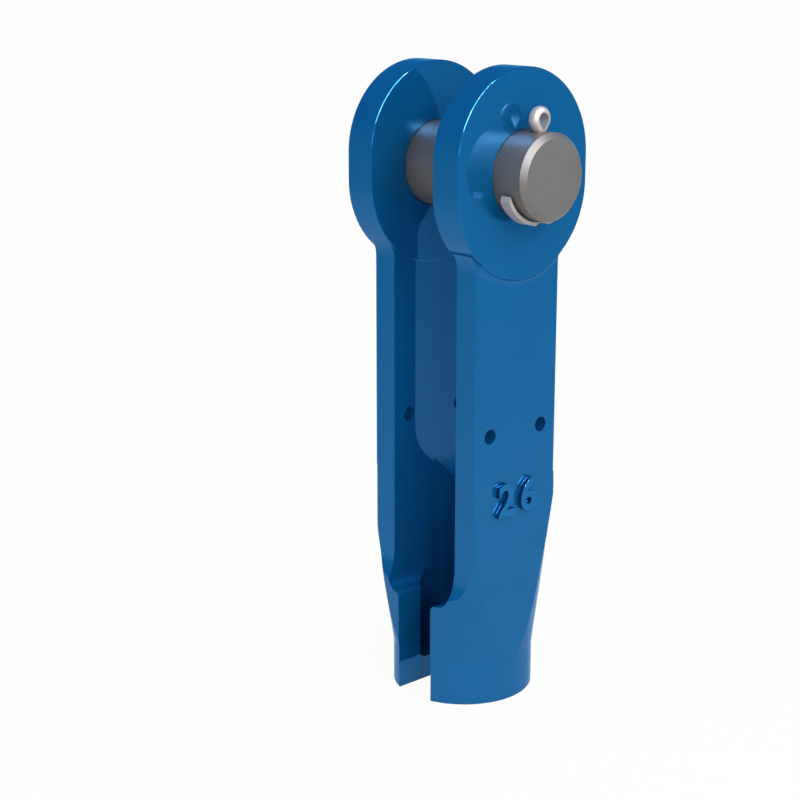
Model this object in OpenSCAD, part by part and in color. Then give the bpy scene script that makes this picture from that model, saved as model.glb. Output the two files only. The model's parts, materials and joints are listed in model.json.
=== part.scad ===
// Open pocket socket for a wire rope that ends in a swaged ferrule.
// X runs along the clevis pin, -Y is the slotted front and the origin is
// the centre of the flat underside of the nose.

/* [Clevis pin] */
// Diameter of the clevis pin
pin_d = 50; // [44:0.5:54]
// Height of the pin's axis above the underside
pin_z = 321; // [312:1:350]
// Length of pin that stands proud of the near ear
pin_proud = 23.6; // [22:0.2:30]
// Chamfer on the pin's plain end
pin_chamfer = 3; // [1:0.5:5]
// Diameter of the pin's head
head_d = 62; // [58:1:70]
// Thickness of the pin's head
head_t = 10; // [6:1:14]
// Radial play between the pin and the ears
pin_play = 0.4; // [0.2:0.05:0.8]

/* [Split pin] */
// Diameter of the two half-round legs together
split_d = 7; // [5:0.5:8]
// Diameter of the split pin's hole through the clevis pin
split_hole_d = 10.4; // [9:0.2:12]
// Inner radius of the eye
eye_r = 3.75; // [3:0.25:5]
// Distance from the ear's face to the split pin's axis
split_off = 11; // [9.5:0.25:13]
// Height of the eye's middle above the clevis pin
eye_rise = 6.6; // [5.5:0.1:9]
// Thickness of a leg where it is bent
leg_t = 2.2; // [1.6:0.1:2.6]
// Angle that each leg is bent round the clevis pin
leg_turn = 69; // [40:1:80]
// Bevel on a leg's end, in degrees
leg_bevel = 51; // [0:1:55]

/* [Ears] */
// Radius of an ear
ear_r = 51.8; // [46:0.1:56]
// Height of the straight middle of an ear
ear_flat = 16; // [4:1:24]
// Thickness of an ear
ear_t = 20.5; // [19:0.5:24]
// Clear width between the ears
ear_gap = 51.4; // [48:0.2:53]
// Radius of the neck between an ear and its strap
neck_r = 15; // [6:1:18]
// Radius of the hollow at the foot of an ear's outer face
foot_r = 4.8; // [3.4:0.1:6]

/* [Straps] */
// Clear width between the straps, also the pocket's diameter
gap = 53.5; // [53.4:0.1:58]
// Thickness of a strap
strap_t = 16.2; // [14:0.2:17]
// Depth of a strap from front to back
strap_depth = 67.2; // [60:0.1:70]
// Rounding of the long edges
edge_r = 0.9; // [0.5:0.1:2.4]
// Diameter of the lock pin holes
lock_d = 9; // [6:0.5:12]
// Distance between a strap's two lock pin holes
lock_span = 42; // [36:1:44]
// Height of the lock pin holes above the underside
lock_z = 170; // [160:1:190]

/* [Nose] */
// Height of the nose below its taper
nose_h = 26.7; // [20:0.5:34]
// Widening of the front half above the nose, in degrees
front_taper = 8.9; // [7:0.1:11]
// Widening of the back half above the nose, in degrees
back_taper = 6.85; // [5:0.05:9]
// How far the front wall's crown stands back from the nose
crown_set = 0.9; // [0:0.1:1.5]
// Radius of the long curve across the front and the back wall
wall_r = 105; // [95:1:140]
// Width of the slot that the rope is laid in through
slot_w = 28.4; // [20:0.2:32]

/* [Pocket] */
// Height of the ferrule's seat above the underside
seat_z = 14.7; // [10:0.5:24]
// Rounding at the foot of the pocket
seat_r = 3.5; // [1:0.5:5]
// Height of the front wall's top above the underside
front_z = 62.5; // [54:0.5:66]
// Rounding of the front window's lower corners
window_r = 8.5; // [4:0.5:12]
// Rounding of the slot's mouth
mouth_r = 3.5; // [1:0.5:5]
// Height of the middle of the back window's round foot
saddle_z = 138.3; // [128:0.5:150]
// Radius of the hollow sweep from a wall up to the straps
sweep_r = 25; // [20:1:32]
// Height at which the front sweep leaves the straps
front_sweep_z = 83; // [80:0.5:90]
// Height at which the back sweep leaves the straps
back_sweep_z = 135; // [126:0.5:144]

/* [Hidden] */
$fn = 96;

paint = [0.03, 0.33, 0.60];
dark_steel = [0.36, 0.37, 0.42];
bright_steel = [0.78, 0.76, 0.73];

over = 1;
pin_r = pin_d / 2;
gap_r = gap / 2;
strap_x = gap_r + strap_t;
strap_y = strap_depth / 2;
ear_in = ear_gap / 2;
ear_out = ear_in + ear_t;
ear_off = ear_flat / 2;
nose_r = strap_x;
crown_y = nose_r - crown_set;
slot_r = slot_w / 2;
split_x = ear_out + split_off;
split_r = split_d / 2;
pin_end = ear_out + pin_proud;
head_gap = 0.3;
head_chamfer = 1.5;
split_play = 0.3;
leg_shift = 1.8;
leg_start = 7;
weld = 0.05;
bore_r = pin_r + pin_play;
outer_edge_z = front_sweep_z + sweep_r / 2;

// The neck's circle touches the ear's lower arc and the strap's side.
neck_y = strap_y + neck_r;
neck_z = -ear_off - sqrt(pow(ear_r + neck_r, 2) - pow(neck_y, 2));

// A rectangle whose corners are rounded, from one corner to the other.
module rounded_rect(low, high, r) {
    for (x = [low.x + r, high.x - r], y = [low.y + r, high.y - r])
        translate([x, y]) circle(r);
    translate([low.x + r, low.y]) square([high.x - low.x - 2 * r, high.y - low.y]);
    translate([low.x, low.y + r]) square([high.x - low.x, high.y - low.y - 2 * r]);
}

// Turns what is drawn about +Z so that it turns about +X.
module along_x() {
    rotate([0, 90, 0]) children();
}

// Extrudes a (y, z) outline from x = low to x = high.
module slab_x(low, high) {
    translate([low, 0, 0]) rotate([90, 0, 90]) linear_extrude(high - low) children();
}

// Extrudes an (x, z) outline from y = low to y = high.
module slab_y(low, high) {
    translate([0, high, 0]) rotate([90, 0, 0]) linear_extrude(high - low) children();
}

// A rounded disc on the X axis, from x = low to x = high.
module disc(low, high, r, round_r) {
    along_x() rotate_extrude() intersection() {
        rounded_rect([-r, low], [r, high], round_r);
        translate([0, low]) square([r, high - low]);
    }
}

// One ear: two rounded discs and the straight middle between them.
module ear() {
    for (z = [-ear_off, ear_off])
        translate([0, 0, pin_z + z]) disc(ear_in, ear_out, ear_r, edge_r);
    translate([0, 0, pin_z - ear_off])
        linear_extrude(ear_flat) rounded_rect([ear_in, -ear_r], [ear_out, ear_r], edge_r);
}

// The hollow neck on one side, between the ear's arc and the strap.
module neck_fillet() {
    intersection() {
        translate([0, neck_y, pin_z + neck_z])
            along_x() rotate_extrude() intersection() {
                rounded_rect([neck_r, gap_r], [neck_r * 5, strap_x], edge_r);
                translate([0, gap_r]) square([neck_r + neck_y, strap_t]);
            }
        slab_x(gap_r - over, strap_x + over) polygon([
            [0, pin_z + neck_z], [neck_y, pin_z + neck_z],
            [0, pin_z - ear_off]]);
    }
}

// The hollow at the foot of an ear's outer face, and the rounding above it.
module foot_hollow() {
    step = ear_out - strap_x;
    span = strap_y - edge_r / 2;
    low = ear_r - 2 * foot_r;
    arc_x = foot_r + edge_r - step;
    edge_mid = ear_r + foot_r - sqrt(pow(foot_r + edge_r, 2) - pow(arc_x, 2));
    join = step - edge_r + edge_r * arc_x / (foot_r + edge_r);
    translate([strap_x, 0, pin_z - ear_off]) intersection() {
        along_x() rotate_extrude() {
            difference() {
                translate([low, -over]) square([ear_r + foot_r - low, over + join]);
                translate([ear_r + foot_r, foot_r]) circle(foot_r);
            }
            translate([edge_mid, step - edge_r]) circle(edge_r);
            translate([low, -over]) square([edge_mid - low, over + step]);
        }
        translate([0, 0, -ear_r - foot_r]) linear_extrude(ear_r + foot_r) polygon([
            [-over, -span], [0, -span], [step + over, step + over - span],
            [step + over, span - step - over], [0, span], [-over, span]]);
    }
}

// One strap with rounded edges, from the block up to the ear.
module strap() {
    translate([0, 0, saddle_z - over]) linear_extrude(pin_z - saddle_z + over)
        rounded_rect([gap_r, -strap_y], [strap_x, strap_y], edge_r);
    for (s = [0, 1]) mirror([0, s, 0]) neck_fillet();
    foot_hollow();
}

// Side view of the block: straight faces, each with its hollow sweep.
module side_outline() {
    wide = nose_r + over;
    difference() {
        translate([-wide, 0]) square([2 * wide, saddle_z]);
        translate([-strap_y - sweep_r, front_sweep_z]) circle(sweep_r);
        translate([-wide - over, front_sweep_z]) square([wide + over - strap_y, saddle_z]);
        translate([strap_y + sweep_r, back_sweep_z]) circle(sweep_r);
        translate([strap_y, back_sweep_z]) square([wide, saddle_z]);
    }
}

// Half of the turned form: the nose and the taper above it.
module turned_half(taper) {
    top = saddle_z + over;
    top_r = nose_r + (top - nose_h) * tan(taper);
    rotate_extrude(angle = 180) union() {
        translate([nose_r - edge_r, edge_r]) circle(edge_r);
        square([nose_r - edge_r, edge_r]);
        translate([0, edge_r]) square([nose_r, nose_h - edge_r]);
        polygon([[0, nose_h], [nose_r, nose_h], [top_r, top], [0, top]]);
    }
}

// The solid block that the pocket is cut from.
module block() {
    intersection() {
        slab_x(-strap_x, strap_x) side_outline();
        union() {
            turned_half(back_taper);
            rotate([0, 0, 180]) turned_half(front_taper);
        }
        union() {
            linear_extrude(nose_h) circle(nose_r + over);
            linear_extrude(saddle_z) intersection() {
                translate([0, wall_r - crown_y]) circle(wall_r, $fn = 192);
                translate([0, nose_r - wall_r]) circle(wall_r, $fn = 192);
            }
        }
    }
}

// The pocket with its rounded foot.
module pocket() {
    rotate_extrude() {
        translate([0, seat_z]) square([gap_r - seat_r, seat_r]);
        translate([0, seat_z + seat_r]) square([gap_r, saddle_z]);
        intersection() {
            translate([gap_r - seat_r, seat_z + seat_r]) circle(seat_r);
            translate([0, seat_z]) square([gap_r, seat_r]);
        }
    }
}

// Front view of the front window and of the slot below it.
module front_opening() {
    difference() {
        union() {
            rounded_rect([-gap_r, front_z], [gap_r, saddle_z + 2 * window_r], window_r);
            translate([-slot_r - mouth_r, front_z - mouth_r])
                square([2 * (slot_r + mouth_r), mouth_r + over]);
            translate([-slot_r, -over]) square([slot_w, front_z]);
        }
        for (s = [-1, 1])
            translate([s * (slot_r + mouth_r), front_z - mouth_r]) circle(mouth_r);
    }
}

// Front view of the back window: the gap with a round foot.
module back_opening() {
    translate([0, saddle_z]) circle(gap_r);
}

// Plan of what is cut to round the edge at (x, y), with the metal towards (sx, sy).
module edge_cut(x, y, sx, sy) {
    side = edge_r + over;
    difference() {
        translate([x + sx * (edge_r - side / 2), y + sy * (edge_r - side / 2)])
            square(side, center = true);
        translate([x + sx * edge_r, y + sy * edge_r]) circle(edge_r);
    }
}

// Rounds the block's front edges as far up as the straps begin.
module front_edges() {
    top = saddle_z + over;
    for (s = [-1, 1]) {
        translate([0, 0, outer_edge_z]) linear_extrude(top - outer_edge_z)
            edge_cut(s * strap_x, -strap_y, -s, 1);
        translate([0, 0, front_sweep_z]) linear_extrude(top - front_sweep_z)
            edge_cut(s * gap_r, -strap_y, s, 1);
    }
}

module socket_body() {
    color(paint) difference() {
        union() {
            for (s = [0, 1]) mirror([s, 0, 0]) {
                ear();
                strap();
            }
            block();
        }
        intersection() {
            pocket();
            translate([-nose_r, -nose_r, 0]) cube([2 * nose_r, 2 * nose_r, saddle_z + over]);
        }
        slab_y(-nose_r - over, 0) front_opening();
        slab_y(0, 2 * nose_r) back_opening();
        translate([0, 0, -over]) cylinder(h = seat_z + seat_r + over, r = slot_r);
        front_edges();
        translate([-ear_out - over, 0, pin_z])
            along_x() cylinder(h = 2 * (ear_out + over), r = bore_r);
        for (y = [-lock_span / 2, lock_span / 2])
            translate([-strap_x - over, y, lock_z])
                along_x() cylinder(h = 2 * (strap_x + over), r = lock_d / 2);
    }
}

module clevis_pin() {
    head_x = -ear_out - head_gap;
    color(dark_steel) difference() {
        translate([0, 0, pin_z]) along_x() rotate_extrude() polygon([
            [0, head_x - head_t],
            [head_d / 2 - head_chamfer, head_x - head_t],
            [head_d / 2, head_x - head_t + head_chamfer],
            [head_d / 2, head_x],
            [pin_r, head_x],
            [pin_r, pin_end - pin_chamfer],
            [pin_r - pin_chamfer, pin_end],
            [0, pin_end]]);
        translate([split_x, 0, pin_z - pin_r - over])
            cylinder(h = pin_d + 2 * over, r = split_hole_d / 2);
    }
}

// Section of a half-round wire of radius r, its flat side at x = low.
module half_round(r, low = 0) {
    intersection() {
        circle(r, $fn = 48);
        translate([low, -r]) square([r, 2 * r]);
    }
}

// The eye: a half-round ring and two straight stretches down to the shank.
module eye() {
    rise = eye_rise - split_play;
    lean = asin(eye_r / rise);
    run = sqrt(pow(rise, 2) - pow(eye_r, 2));
    translate([0, 0, pin_r + eye_rise]) rotate([90, 0, 90]) rotate([0, 0, -lean])
        rotate_extrude(angle = 180 + 2 * lean) translate([eye_r, 0]) half_round(split_r);
    for (s = [0, 1]) mirror([0, s, 0])
        translate([0, 0, pin_r + split_play]) rotate([-lean, 0, 0]) rotate([0, 0, 90])
            linear_extrude(run + split_r / 6) half_round(split_r - weld, weld);
}

// One leg, bent out of the hole and round the clevis pin's underside.
module leg() {
    inner = pin_r + split_play;
    outer = inner + leg_t;
    reach = split_d + leg_t;
    foot = [-leg_shift - outer * sin(leg_start), -outer * cos(leg_start)];
    root = [-split_play, -inner];
    tip = [-leg_shift - inner * sin(leg_turn), -inner * cos(leg_turn)];
    notch = (foot - root) / norm(foot - root) * reach;
    cut = leg_turn - leg_bevel;
    slope = [sin(cut), cos(cut)] * reach;
    slab_x(-split_r, split_r) intersection() {
        translate([-leg_shift, 0]) difference() {
            circle(outer);
            circle(inner);
        }
        polygon([root - notch, root + notch, tip - slope, tip + slope]);
    }
}

module split_pin() {
    color(bright_steel) translate([split_x, 0, pin_z]) {
        eye();
        translate([0, 0, -pin_r - 2 * split_play])
            cylinder(h = 2 * pin_r + 3 * split_play, r = split_r - 2 * weld, $fn = 48);
        for (s = [0, 1]) mirror([0, s, 0]) leg();
    }
}

socket_body();
clevis_pin();
split_pin();
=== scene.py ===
"""Looks of an open wire rope socket: its finishes, its size mark, the floor, the light and the camera.

Everything is in metres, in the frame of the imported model: +X along the clevis pin, -Y out of the
slotted front and +Z up, with the origin at the centre of the flat underside.
"""

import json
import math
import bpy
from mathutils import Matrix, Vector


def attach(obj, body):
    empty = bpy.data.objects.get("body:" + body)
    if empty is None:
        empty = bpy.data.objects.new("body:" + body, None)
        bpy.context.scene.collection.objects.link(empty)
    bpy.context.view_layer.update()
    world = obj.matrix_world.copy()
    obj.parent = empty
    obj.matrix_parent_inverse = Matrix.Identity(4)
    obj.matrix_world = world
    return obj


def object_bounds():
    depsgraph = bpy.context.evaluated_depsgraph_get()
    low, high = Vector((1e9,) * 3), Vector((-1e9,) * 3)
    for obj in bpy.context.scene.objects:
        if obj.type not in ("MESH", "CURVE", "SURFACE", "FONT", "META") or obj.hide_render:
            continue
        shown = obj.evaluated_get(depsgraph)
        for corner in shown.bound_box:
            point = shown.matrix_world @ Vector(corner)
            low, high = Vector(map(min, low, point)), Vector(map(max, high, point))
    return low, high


bl_info = {
    "name": "Wire Rope Socket Looks",
    "version": (1, 0, 0),
    "blender": (4, 5, 0),
    "location": "3D View > Sidebar > Socket",
    "description": "Gives a packed wire rope socket its finishes, size mark, floor, light and camera",
    "category": "Object",
}

import bpy
from bpy.props import FloatProperty, FloatVectorProperty, PointerProperty, StringProperty
from mathutils import Matrix, Vector

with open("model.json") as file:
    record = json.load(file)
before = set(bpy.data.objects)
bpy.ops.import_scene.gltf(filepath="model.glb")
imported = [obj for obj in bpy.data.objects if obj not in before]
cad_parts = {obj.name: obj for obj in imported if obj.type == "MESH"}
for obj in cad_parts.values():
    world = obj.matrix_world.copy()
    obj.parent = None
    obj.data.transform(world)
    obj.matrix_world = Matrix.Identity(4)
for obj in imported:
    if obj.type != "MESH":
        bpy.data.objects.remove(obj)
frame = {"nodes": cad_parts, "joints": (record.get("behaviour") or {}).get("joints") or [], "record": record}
cad_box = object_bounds()

PIN_AXIS_Z = next(j for j in frame["joints"] if j["name"] == "pin_turn")["pos_m"][2]
STRAP_FACE_X = next(m for m in frame["record"]["mounts"] if m["name"] == "lock_pin_holes")["pos_m"][0]

# Depth of the paint's ripple and of the turning marks.
RIPPLE_DEPTH = 0.00002

# Levels of the paint's colour on the figures' fronts and sides: painted light on the fronts and painted
# shade on the sides, as their relief would be lit.
FIGURE_FRONT_PAINTED_LIGHT = 1.15
FIGURE_SIDE_PAINTED_SHADE = 0.4

# Place, width and length, and direction of the length of each lamp. All face the object's middle.
LAMPS = {
    "key": ((1.12, -0.08, 1.06), (0.2, 1.1), (0.31, -0.82, -0.49)),
    "strip": ((1.08, -0.08, 1.02), (0.1, 1.1), (0.31, -0.82, -0.49)),
    "fill": ((-0.25, -1.1, 0.35), (0.5, 0.5), (0, 0, 1)),
    "edge": ((1.2, -0.83, 0.52), (0.25, 0.25), (0, 0, 1)),
}

# The rest of the floor's share takes the light, so that it keeps the object's shadow.
FLOOR_WHITE_SHARE = 0.95
FLOOR_RADIUS = 20

# Sine of the angle above the horizon at which the backdrop has its overhead colour.
OVERHEAD_FROM = 0.4


class PaintLook(bpy.types.PropertyGroup):
    """The glossy enamel on the forging, under a thin clear coat."""

    color: FloatVectorProperty(
        name="Color", description="Colour of the enamel", subtype="COLOR", size=3,
        min=0, max=1, default=(0.003, 0.106, 0.284))
    metal_share: FloatProperty(
        name="Metal Share", description="Share of the gloss that mirrors in the enamel's own colour",
        subtype="FACTOR", min=0, max=1, default=0.42)
    grazing_tint: FloatVectorProperty(
        name="Grazing Tint", description="Tint of that coloured mirror image at a grazing view",
        subtype="COLOR", size=3, min=0, max=1, default=(0.1, 0.65, 1.0))
    roughness: FloatProperty(
        name="Roughness", description="Roughness of the gloss", subtype="FACTOR",
        min=0, max=1, default=0.04)
    coat: FloatProperty(
        name="Coat", description="Share of clear coat, which mirrors white", subtype="FACTOR",
        min=0, max=1, default=0.32)
    edge_softness: FloatProperty(
        name="Edge Softness", description="Rounding of the edges under the paint", subtype="DISTANCE",
        unit="LENGTH", min=0, max=0.003, default=0.0005, precision=4)
    peel: FloatProperty(
        name="Peel", description="Depth of the sprayed skin's ripple", subtype="FACTOR",
        min=0, max=1, default=0.04)


class SteelLook(bpy.types.PropertyGroup):
    """The turned pin and the drawn wire of the split pin."""

    pin_color: FloatVectorProperty(
        name="Pin Color", description="Colour of the clevis pin", subtype="COLOR", size=3,
        min=0, max=1, default=(0.138, 0.126, 0.117))
    pin_roughness: FloatProperty(
        name="Pin Roughness", description="Roughness of the clevis pin", subtype="FACTOR",
        min=0, max=1, default=0.42)
    pin_metal_share: FloatProperty(
        name="Pin Metal Share", description="Share of bare metal in the clevis pin's gloss",
        subtype="FACTOR", min=0, max=1, default=0.35)
    groove_pitch: FloatProperty(
        name="Groove Pitch", description="Width of one turning mark", subtype="DISTANCE", unit="LENGTH",
        min=0.0001, max=0.002, default=0.0004, precision=5)
    wire_color: FloatVectorProperty(
        name="Wire Color", description="Colour of the split pin", subtype="COLOR", size=3,
        min=0, max=1, default=(0.44, 0.38, 0.35))
    wire_roughness: FloatProperty(
        name="Wire Roughness", description="Roughness of the split pin", subtype="FACTOR",
        min=0, max=1, default=0.48)
    wire_metal_share: FloatProperty(
        name="Wire Metal Share", description="Share of bare metal in the split pin's gloss",
        subtype="FACTOR", min=0, max=1, default=0.45)


class MarkLook(bpy.types.PropertyGroup):
    """The raised figures that give the rope's size in millimetres."""

    figures: StringProperty(
        name="Figures", description="Rope size in millimetres", default="26")
    height: FloatProperty(
        name="Height", description="Height of the figures", subtype="DISTANCE", unit="LENGTH",
        min=0.005, max=0.03, default=0.019, precision=4)
    relief: FloatProperty(
        name="Relief", description="How far the figures stand out of the strap", subtype="DISTANCE",
        unit="LENGTH", min=0.0005, max=0.004, default=0.003, precision=4)
    boldness: FloatProperty(
        name="Boldness", description="How far the figures' outlines swell", subtype="DISTANCE",
        unit="LENGTH", min=0, max=0.002, default=0.0006, precision=4)
    edge: FloatProperty(
        name="Edge", description="Rounding of the figures' edges", subtype="DISTANCE",
        unit="LENGTH", min=0, max=0.001, default=0.0002, precision=4)
    spacing: FloatProperty(
        name="Spacing", description="Width of the figures' step", min=0.8, max=2, default=1.35)
    middle_z: FloatProperty(
        name="Middle Height", description="Height of the middle of the figures", subtype="DISTANCE",
        unit="LENGTH", min=0.11, max=0.15, default=0.1285, precision=4)


class StageLook(bpy.types.PropertyGroup):
    """The floor, the lamps and the camera."""

    floor_color: FloatVectorProperty(
        name="Floor Color", description="Colour of the floor", subtype="COLOR", size=3,
        min=0, max=1, default=(0.82, 0.82, 0.82))
    ambient: FloatProperty(
        name="Ambient", description="Level of the even light from all round",
        min=0, max=2, default=0.78)
    overhead: FloatVectorProperty(
        name="Overhead", description="Colour of the backdrop overhead, in mirrors", subtype="COLOR", size=3,
        min=0, max=1, default=(0.05, 0.27, 0.62))
    horizon: FloatVectorProperty(
        name="Horizon", description="Colour of the far floor and low backdrop, in mirrors", subtype="COLOR",
        size=3, min=0, max=1, default=(0.20, 0.50, 0.62))
    pool_radius: FloatProperty(
        name="Pool Radius", description="Distance at which the bright floor has faded by half, in mirrors",
        subtype="DISTANCE", unit="LENGTH", min=0.1, max=5, default=0.9)
    key_power: FloatProperty(
        name="Key Power", description="Power of the key lamp", subtype="POWER", unit="POWER",
        min=0, max=200, default=10.5)
    edge_power: FloatProperty(
        name="Edge Power", description="Power of the small lamp that draws the edges", subtype="POWER",
        unit="POWER", min=0, max=200, default=4)
    strip_power: FloatProperty(
        name="Strip Power", description="Power of the strip lamp, which is seen only in mirrors",
        subtype="POWER", unit="POWER", min=0, max=500, default=75)
    fill_power: FloatProperty(
        name="Fill Power", description="Power of the lamp that lights the rope's pocket", subtype="POWER",
        unit="POWER", min=0, max=200, default=1.7)
    camera_place: FloatVectorProperty(
        name="Camera Place", description="Where the camera stands", subtype="XYZ", unit="LENGTH",
        size=3, default=(0.72709, -0.70731, 0.45075))
    camera_pitch: FloatProperty(
        name="Camera Pitch", description="How far the camera looks down", subtype="ANGLE",
        unit="ROTATION", default=math.radians(14.954))
    camera_turn: FloatProperty(
        name="Camera Turn", description="Turn of the camera about the vertical", subtype="ANGLE",
        unit="ROTATION", default=math.radians(48))
    camera_lens: FloatProperty(
        name="Camera Lens", description="Focal length on a 36 mm sensor", subtype="DISTANCE_CAMERA",
        unit="CAMERA", min=20, max=200, default=78.23)


def add_socket(tree, name, socket_type, in_out="INPUT", default=None):
    """Adds one named socket to a node group."""
    socket = tree.interface.new_socket(name=name, in_out=in_out, socket_type=socket_type)
    if default is not None:
        socket.default_value = default
    return socket


def new_group(name):
    """Makes an empty shader node group with its two end nodes."""
    tree = bpy.data.node_groups.new(name, "ShaderNodeTree")
    return tree, tree.nodes.new("NodeGroupInput"), tree.nodes.new("NodeGroupOutput")


def math_node(tree, operation, first, second=None):
    """Adds a Math node and feeds it from sockets or numbers."""
    node = tree.nodes.new("ShaderNodeMath")
    node.operation = operation
    for socket, value in zip(node.inputs, (first, second)):
        if isinstance(value, bpy.types.NodeSocket):
            tree.links.new(value, socket)
        elif value is not None:
            socket.default_value = value
    return node.outputs[0]


def mottle_group():
    """Slow unevenness: a mask of soft patches with finer ones inside them."""
    tree, ends_in, ends_out = new_group("soft mottle")
    add_socket(tree, "Patch Size", "NodeSocketFloat", default=0.03)
    add_socket(tree, "Low", "NodeSocketFloat", default=0.9)
    add_socket(tree, "High", "NodeSocketFloat", default=1.0)
    add_socket(tree, "Level", "NodeSocketFloat", "OUTPUT")
    place = tree.nodes.new("ShaderNodeTexCoord")
    noise = tree.nodes.new("ShaderNodeTexNoise")
    noise.inputs["Detail"].default_value = 4
    spread = tree.nodes.new("ShaderNodeMapRange")
    spread.inputs["From Min"].default_value = 0.3
    spread.inputs["From Max"].default_value = 0.7
    tree.links.new(place.outputs["Object"], noise.inputs["Vector"])
    tree.links.new(math_node(tree, "DIVIDE", 1, ends_in.outputs["Patch Size"]), noise.inputs["Scale"])
    tree.links.new(noise.outputs["Fac"], spread.inputs["Value"])
    tree.links.new(ends_in.outputs["Low"], spread.inputs["To Min"])
    tree.links.new(ends_in.outputs["High"], spread.inputs["To Max"])
    tree.links.new(spread.outputs["Result"], ends_out.inputs["Level"])
    return tree


def turning_group():
    """Turning marks: rings round the X axis through a given height, on sides and ends alike."""
    tree, ends_in, ends_out = new_group("turning marks")
    add_socket(tree, "Axis Height", "NodeSocketFloat", default=0)
    add_socket(tree, "Pitch", "NodeSocketFloat", default=0.0004)
    add_socket(tree, "Level", "NodeSocketFloat", "OUTPUT")
    place = tree.nodes.new("ShaderNodeTexCoord")
    split = tree.nodes.new("ShaderNodeSeparateXYZ")
    tree.links.new(place.outputs["Object"], split.inputs[0])
    up = math_node(tree, "SUBTRACT", split.outputs["Z"], ends_in.outputs["Axis Height"])
    square_y = math_node(tree, "MULTIPLY", split.outputs["Y"], split.outputs["Y"])
    square_z = math_node(tree, "MULTIPLY", up, up)
    radius = math_node(tree, "SQRT", math_node(tree, "ADD", square_y, square_z))
    rings = tree.nodes.new("ShaderNodeCombineXYZ")
    tree.links.new(split.outputs["X"], rings.inputs["X"])
    tree.links.new(radius, rings.inputs["Y"])
    noise = tree.nodes.new("ShaderNodeTexNoise")
    noise.inputs["Detail"].default_value = 2
    tree.links.new(rings.outputs[0], noise.inputs["Vector"])
    tree.links.new(math_node(tree, "DIVIDE", 1, ends_in.outputs["Pitch"]), noise.inputs["Scale"])
    tree.links.new(noise.outputs["Fac"], ends_out.inputs["Level"])
    return tree


def shared_group(name, maker):
    """The named node group, made the first time that it is asked for."""
    return bpy.data.node_groups.get(name) or maker()


def place_group(tree, group, **values):
    """Places a node group in a material with its own values."""
    node = tree.nodes.new("ShaderNodeGroup")
    node.node_tree = group
    for name, value in values.items():
        node.inputs[name.replace("_", " ")].default_value = value
    return node


def new_material(name):
    """Makes a material and gives back it, its tree and its Principled node."""
    material = bpy.data.materials.new(name)
    material.use_nodes = True
    return material, material.node_tree, material.node_tree.nodes["Principled BSDF"]


def add_bump(tree, shader, height, depth, strength, softness=0):
    """Feeds a height of a given depth in metres to the shader's normal, over softened edges."""
    bump = tree.nodes.new("ShaderNodeBump")
    if softness:
        edges = tree.nodes.new("ShaderNodeBevel")
        edges.samples = 12
        edges.inputs["Radius"].default_value = softness
        tree.links.new(edges.outputs["Normal"], bump.inputs["Normal"])
    bump.inputs["Distance"].default_value = depth
    bump.inputs["Strength"].default_value = strength
    tree.links.new(height, bump.inputs["Height"])
    tree.links.new(bump.outputs["Normal"], shader.inputs["Normal"])


def tinted(tree, shader, color, level):
    """Multiplies a colour by an uneven level and feeds it to Base Color."""
    mix = tree.nodes.new("ShaderNodeMix")
    mix.data_type = "RGBA"
    mix.inputs["A"].default_value = (0, 0, 0, 1)
    mix.inputs["B"].default_value = (*color, 1)
    mix.clamp_factor = False
    tree.links.new(level, mix.inputs["Factor"])
    tree.links.new(mix.outputs["Result"], shader.inputs["Base Color"])


def figure_painted_light_and_shade(tree, front):
    """Painted light and shade: a level that is high on the figures' fronts, beyond a given depth, and low on
    their sides.
    """
    place = tree.nodes.new("ShaderNodeTexCoord")
    split = tree.nodes.new("ShaderNodeSeparateXYZ")
    tree.links.new(place.outputs["Object"], split.inputs[0])
    is_front = math_node(tree, "GREATER_THAN", split.outputs["Z"], front)
    gain = math_node(tree, "MULTIPLY", is_front, FIGURE_FRONT_PAINTED_LIGHT - FIGURE_SIDE_PAINTED_SHADE)
    return math_node(tree, "ADD", gain, FIGURE_SIDE_PAINTED_SHADE)


def enamel(look, name, softness=0, front=None):
    """Glossy enamel with a faint sprayed ripple, and with painted light on raised figures' fronts and
    painted shade on their sides when a front depth is given.
    """
    material, tree, shader = new_material(name)
    shader.inputs["Roughness"].default_value = look.roughness
    shader.inputs["Metallic"].default_value = look.metal_share
    shader.inputs["Specular IOR Level"].default_value = 0
    shader.inputs["Specular Tint"].default_value = (*look.grazing_tint, 1)
    shader.inputs["Coat Weight"].default_value = look.coat
    shader.inputs["Coat Roughness"].default_value = look.roughness
    patches = place_group(
        tree, shared_group("soft mottle", mottle_group), Patch_Size=0.045, Low=0.97, High=1.03)
    level = patches.outputs["Level"]
    if front is not None:
        # Painted light on the figures' fronts and painted shade on their sides.
        level = math_node(tree, "MULTIPLY", level, figure_painted_light_and_shade(tree, front))
    tinted(tree, shader, look.color, level)
    peel = place_group(tree, shared_group("soft mottle", mottle_group), Patch_Size=0.0025, Low=0, High=1)
    add_bump(tree, shader, peel.outputs["Level"], RIPPLE_DEPTH, look.peel, softness)
    return material


def turned_steel(look):
    """Dark turned steel with fine rings."""
    material, tree, shader = new_material("turned_steel")
    shader.inputs["Metallic"].default_value = look.pin_metal_share
    patches = place_group(
        tree, shared_group("soft mottle", mottle_group), Patch_Size=0.02, Low=0.92, High=1.05)
    tinted(tree, shader, look.pin_color, patches.outputs["Level"])
    rings = place_group(
        tree, shared_group("turning marks", turning_group), Axis_Height=PIN_AXIS_Z, Pitch=look.groove_pitch)
    rough = tree.nodes.new("ShaderNodeMapRange")
    rough.inputs["To Min"].default_value = look.pin_roughness - 0.06
    rough.inputs["To Max"].default_value = look.pin_roughness + 0.06
    tree.links.new(rings.outputs["Level"], rough.inputs["Value"])
    tree.links.new(rough.outputs["Result"], shader.inputs["Roughness"])
    add_bump(tree, shader, rings.outputs["Level"], RIPPLE_DEPTH, 0.5)
    return material


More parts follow.
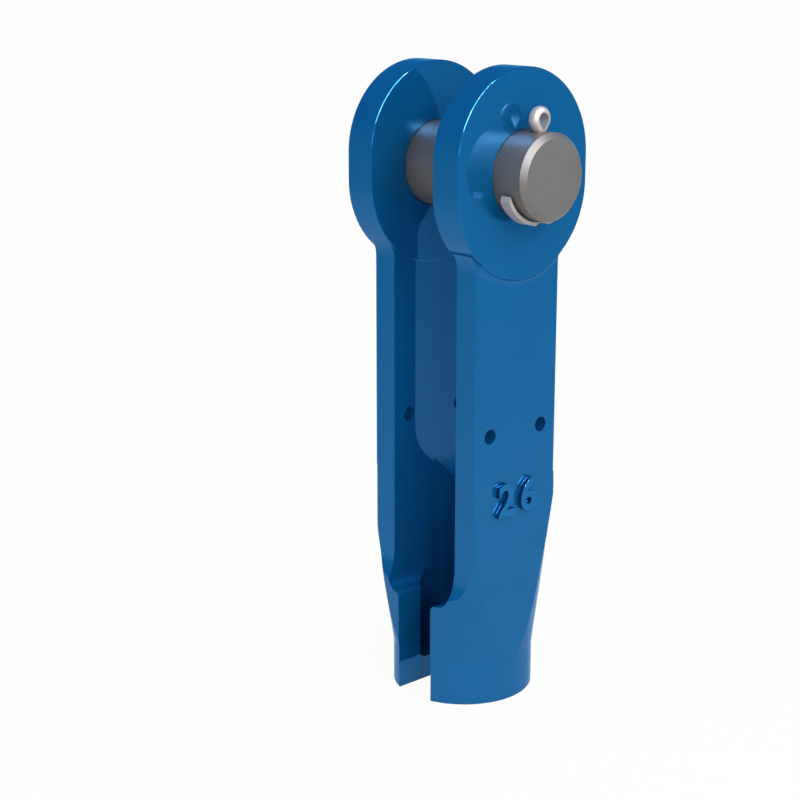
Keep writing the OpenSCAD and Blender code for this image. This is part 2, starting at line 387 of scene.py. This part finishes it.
def drawn_wire(look):
    """Bright drawn wire."""
    material, tree, shader = new_material("bright_wire")
    shader.inputs["Metallic"].default_value = look.wire_metal_share
    shader.inputs["Roughness"].default_value = look.wire_roughness
    patches = place_group(
        tree, shared_group("soft mottle", mottle_group), Patch_Size=0.004, Low=0.93, High=1.02)
    tinted(tree, shader, look.wire_color, patches.outputs["Level"])
    return material


def dress(node, material):
    """Gives a CAD node one material in all its slots."""
    mesh_object = frame["nodes"][node]
    if not mesh_object.material_slots:
        mesh_object.data.materials.append(material)
    for slot in mesh_object.material_slots:
        slot.material = material


class SOCKET_OT_paint_body(bpy.types.Operator):
    """Paints the forged body with glossy enamel"""

    bl_idname = "socket.paint_body"
    bl_label = "Paint Body"

    def execute(self, context):
        look = context.scene.socket_paint
        dress("socket_body", enamel(look, "blue_enamel", look.edge_softness))
        return {"FINISHED"}


class SOCKET_OT_finish_pins(bpy.types.Operator):
    """Gives the clevis pin its turned steel and the split pin its drawn wire"""

    bl_idname = "socket.finish_pins"
    bl_label = "Finish Pins"

    def execute(self, context):
        dress("clevis_pin", turned_steel(context.scene.socket_steel))
        dress("split_pin", drawn_wire(context.scene.socket_steel))
        return {"FINISHED"}


class SOCKET_OT_add_size_mark(bpy.types.Operator):
    """Raises the rope size on the near strap's face"""

    bl_idname = "socket.add_size_mark"
    bl_label = "Add Size Mark"

    def execute(self, context):
        look = context.scene.socket_mark
        curve = bpy.data.curves.new("rope_size_mark", "FONT")
        curve.body = look.figures
        curve.align_x = "CENTER"
        curve.align_y = "CENTER"
        curve.size = look.height / 0.7
        curve.space_character = look.spacing
        curve.offset = look.boldness
        curve.extrude = look.relief / 2
        curve.bevel_depth = look.edge
        curve.bevel_resolution = 2
        mark = bpy.data.objects.new("rope_size_mark", curve)
        context.collection.objects.link(mark)
        mark.rotation_euler = (math.radians(90), 0, math.radians(90))
        mark.location = (STRAP_FACE_X + look.relief / 2, 0, look.middle_z)
        # The mark's enamel has painted light on the figures' fronts and painted shade on their sides.
        mark.data.materials.append(enamel(context.scene.socket_paint, "mark_enamel", front=look.relief / 2))
        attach(mark, "socket")
        return {"FINISHED"}


def mix_node(tree, factor, first, second):
    """Adds a colour Mix node and feeds it from sockets or colours."""
    node = tree.nodes.new("ShaderNodeMix")
    node.data_type = "RGBA"
    for name, value in (("Factor", factor), ("A", first), ("B", second)):
        socket = node.inputs[name]
        if isinstance(value, bpy.types.NodeSocket):
            tree.links.new(value, socket)
        else:
            socket.default_value = (*value, 1)
    return node.outputs["Result"]


def floor_material(look):
    """A pale floor with the object's shadow, which fades to the horizon's colour far off in mirrors."""
    material = bpy.data.materials.new("pale_floor")
    material.use_nodes = True
    tree = material.node_tree
    tree.nodes.remove(tree.nodes["Principled BSDF"])
    output = tree.nodes["Material Output"]
    diffuse = tree.nodes.new("ShaderNodeBsdfDiffuse")
    diffuse.inputs["Color"].default_value = (*look.floor_color, 1)
    place = tree.nodes.new("ShaderNodeTexCoord")
    distance = tree.nodes.new("ShaderNodeVectorMath")
    distance.operation = "LENGTH"
    tree.links.new(place.outputs["Object"], distance.inputs[0])
    ratio = math_node(tree, "DIVIDE", distance.outputs["Value"], look.pool_radius)
    fade = math_node(tree, "ADD", math_node(tree, "POWER", ratio, 2), 1)
    pool = mix_node(tree, math_node(tree, "DIVIDE", 1, fade), look.horizon, (1, 1, 1))
    path = tree.nodes.new("ShaderNodeLightPath")
    white = tree.nodes.new("ShaderNodeEmission")
    white.inputs["Strength"].default_value = 1
    color = mix_node(tree, path.outputs["Is Camera Ray"], pool, (1, 1, 1))
    tree.links.new(color, white.inputs["Color"])
    seen = math_node(tree, "MAXIMUM", path.outputs["Is Camera Ray"], path.outputs["Is Glossy Ray"])
    seen = math_node(tree, "MAXIMUM", seen, path.outputs["Is Transmission Ray"])
    mix = tree.nodes.new("ShaderNodeMixShader")
    tree.links.new(math_node(tree, "MULTIPLY", seen, FLOOR_WHITE_SHARE), mix.inputs["Fac"])
    tree.links.new(diffuse.outputs[0], mix.inputs[1])
    tree.links.new(white.outputs[0], mix.inputs[2])
    tree.links.new(mix.outputs[0], output.inputs["Surface"])
    return material


def add_floor(context, look):
    """Lays a round floor under the object."""
    bpy.ops.mesh.primitive_circle_add(
        vertices=96, radius=FLOOR_RADIUS, fill_type="NGON", location=(0, 0, 0))
    floor = context.object
    floor.name = "floor"
    floor.data.materials.append(floor_material(look))


def set_world(context, look):
    """Even light from all round, with a backdrop that is white to the camera and blue in mirrors."""
    world = bpy.data.worlds.new("studio")
    context.scene.world = world
    world.use_nodes = True
    tree = world.node_tree
    light = tree.nodes["Background"]
    light.inputs["Color"].default_value = (1, 1, 1, 1)
    light.inputs["Strength"].default_value = look.ambient
    place = tree.nodes.new("ShaderNodeTexCoord")
    split = tree.nodes.new("ShaderNodeSeparateXYZ")
    tree.links.new(place.outputs["Generated"], split.inputs[0])
    rise = tree.nodes.new("ShaderNodeMapRange")
    rise.interpolation_type = "SMOOTHSTEP"
    rise.inputs["From Min"].default_value = 0
    rise.inputs["From Max"].default_value = OVERHEAD_FROM
    tree.links.new(split.outputs["Z"], rise.inputs["Value"])
    mirrored = mix_node(tree, rise.outputs["Result"], look.horizon, look.overhead)
    path = tree.nodes.new("ShaderNodeLightPath")
    backdrop = tree.nodes.new("ShaderNodeBackground")
    color = mix_node(tree, path.outputs["Is Camera Ray"], mirrored, (1, 1, 1))
    tree.links.new(color, backdrop.inputs["Color"])
    seen = math_node(tree, "MAXIMUM", path.outputs["Is Camera Ray"], path.outputs["Is Glossy Ray"])
    seen = math_node(tree, "MAXIMUM", seen, path.outputs["Is Transmission Ray"])
    mix = tree.nodes.new("ShaderNodeMixShader")
    tree.links.new(seen, mix.inputs["Fac"])
    tree.links.new(light.outputs[0], mix.inputs[1])
    tree.links.new(backdrop.outputs[0], mix.inputs[2])
    tree.links.new(mix.outputs[0], tree.nodes["World Output"].inputs["Surface"])


def add_lamp(context, name, place, size, along, power):
    """Hangs a soft lamp that faces the object's middle, with its length along a direction."""
    data = bpy.data.lights.new(name, "AREA")
    data.shape = "RECTANGLE"
    data.size, data.size_y = size
    data.energy = power
    lamp = bpy.data.objects.new(name, data)
    context.collection.objects.link(lamp)
    lamp.location = place
    back = (Vector(place) - Vector((0, 0, cad_box[1][2] / 2))).normalized()
    side = Vector(along).cross(back).normalized()
    lamp.rotation_euler = Matrix((side, back.cross(side), back)).transposed().to_euler()


def add_camera(context, look):
    """Sets the camera where the photograph was taken from."""
    data = bpy.data.cameras.new("camera")
    data.sensor_width = 36
    data.lens = look.camera_lens
    camera = bpy.data.objects.new("camera", data)
    context.collection.objects.link(camera)
    camera.location = look.camera_place
    camera.rotation_euler = (math.pi / 2 - look.camera_pitch, 0, look.camera_turn)
    context.scene.camera = camera


class SOCKET_OT_build_stage(bpy.types.Operator):
    """Lays the floor, hangs the lamps and sets the camera"""

    bl_idname = "socket.build_stage"
    bl_label = "Build Stage"

    def execute(self, context):
        look = context.scene.socket_stage
        context.scene.view_settings.view_transform = "Standard"
        set_world(context, look)
        add_floor(context, look)
        for name, (place, size, along) in LAMPS.items():
            add_lamp(context, name + "_lamp", place, size, along, getattr(look, name + "_power"))
        bpy.data.objects["strip_lamp"].visible_diffuse = False
        bpy.data.objects["fill_lamp"].visible_glossy = False
        add_camera(context, look)
        return {"FINISHED"}


class SOCKET_PT_looks(bpy.types.Panel):
    """Lists the steps in the sidebar."""

    bl_idname = "SOCKET_PT_looks"
    bl_label = "Wire Rope Socket"
    bl_space_type = "VIEW_3D"
    bl_region_type = "UI"
    bl_category = "Socket"

    def draw(self, context):
        for operator in STEPS:
            self.layout.operator(operator.bl_idname)
        for name in GROUPS:
            group = getattr(context.scene, name)
            box = self.layout.box()
            for key in group.__annotations__:
                box.prop(group, key)


STEPS = (SOCKET_OT_paint_body, SOCKET_OT_finish_pins, SOCKET_OT_add_size_mark, SOCKET_OT_build_stage)
GROUPS = {
    "socket_paint": PaintLook,
    "socket_steel": SteelLook,
    "socket_mark": MarkLook,
    "socket_stage": StageLook,
}


def register():
    for group in GROUPS.values():
        bpy.utils.register_class(group)
    for name, group in GROUPS.items():
        setattr(bpy.types.Scene, name, PointerProperty(type=group))
    for operator in STEPS:
        bpy.utils.register_class(operator)
    bpy.utils.register_class(SOCKET_PT_looks)


def unregister():
    bpy.utils.unregister_class(SOCKET_PT_looks)
    for operator in reversed(STEPS):
        bpy.utils.unregister_class(operator)
    for name in GROUPS:
        delattr(bpy.types.Scene, name)
    for group in GROUPS.values():
        bpy.utils.unregister_class(group)


def main():
    register()
    bpy.ops.socket.paint_body()
    bpy.ops.socket.finish_pins()
    bpy.ops.socket.add_size_mark()
    bpy.ops.socket.build_stage()


if __name__ == "__main__":
    main()
